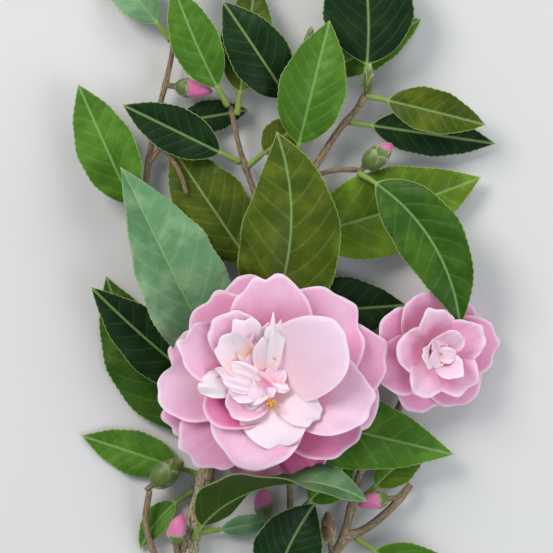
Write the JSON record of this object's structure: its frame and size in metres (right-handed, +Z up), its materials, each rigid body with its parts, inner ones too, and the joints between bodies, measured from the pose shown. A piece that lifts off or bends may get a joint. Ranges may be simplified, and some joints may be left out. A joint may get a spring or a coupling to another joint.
{
  "type": "cut camellia spray",
  "caption": "Cut flowering branch of a camellia: forked woody stem, broad evergreen leaves, buds and full pink blooms, lying down.",
  "frame": {"origin": "middle of the spray's outline, on the table it lies on", "axes": "+Y from the cut end of the main stem towards its tip, +Z up from the table to the open bloom, +X across the spray"},
  "size_m": [0.1118, 0.1884, 0.0346],
  "materials": {
    "bark": "matt grey-brown bark, finely fissured",
    "leaf": "leathery, glossy above and paler beneath",
    "petal": "soft satin petals, pale rims and deeper pink folds",
    "bud_green": "overlapping green scales with pale silky edges",
    "bud_pink": "furled pink petals over green scales",
    "bud_scale": "dry brown scales"
  },
  "bodies": {
    "root": {"main_stem": "bark", "left_shoot": "bark", "left_twig": "bark", "mid_shoot": "bark", "right_shoot": "bark", "right_twig": "bark", "lower_branch": "bark", "centre_twig": "bark", "bloom_twig": "bark", "left_bud_twig": "bark", "leaf_left_large": "leaf", "leaf_behind_bloom": "leaf", "leaf_right_low": "leaf", "leaf_twisted": "leaf", "leaf_bottom": "leaf", "leaf_stem_left": "leaf", "leaf_left_low": "leaf", "leaf_left_under": "leaf", "leaf_left_dark": "leaf", "leaf_pale_low": "leaf", "leaf_right_bright": "leaf", "leaf_upper_left": "leaf", "leaf_leader_right": "leaf", "leaf_leader_left": "leaf", "leaf_leader_tip": "leaf", "leaf_mid_low": "leaf", "leaf_mid_left": "leaf", "leaf_mid_tip": "leaf", "leaf_mid_end": "leaf", "leaf_top_right": "leaf", "leaf_right_olive": "leaf", "leaf_right_dark": "leaf", "leaf_right_edge": "leaf", "leaf_left_tip": "leaf", "leaf_left_bud": "leaf", "leaf_left_end": "leaf", "leaf_left_outer": "leaf", "leaf_corner": "leaf", "leaf_spur": "leaf", "leaf_centre_right": "leaf", "leaf_right_under": "leaf", "bud_green": "bud_green", "bud_pink_low": "bud_pink", "bud_pink_upper": "bud_pink", "bud_tipped": "bud_green", "bud_shoot_end": "bud_green", "bud_pink_right": "bud_pink", "bud_pink_left": "bud_pink", "bud_pink_centre": "bud_pink", "bud_leader": "bud_green", "bud_scaly": "bud_scale", "bloom": "petal", "second_bloom": "petal", "bloom_cup": "bud_green", "second_cup": "bud_green"}
  },
  "joints": []
}
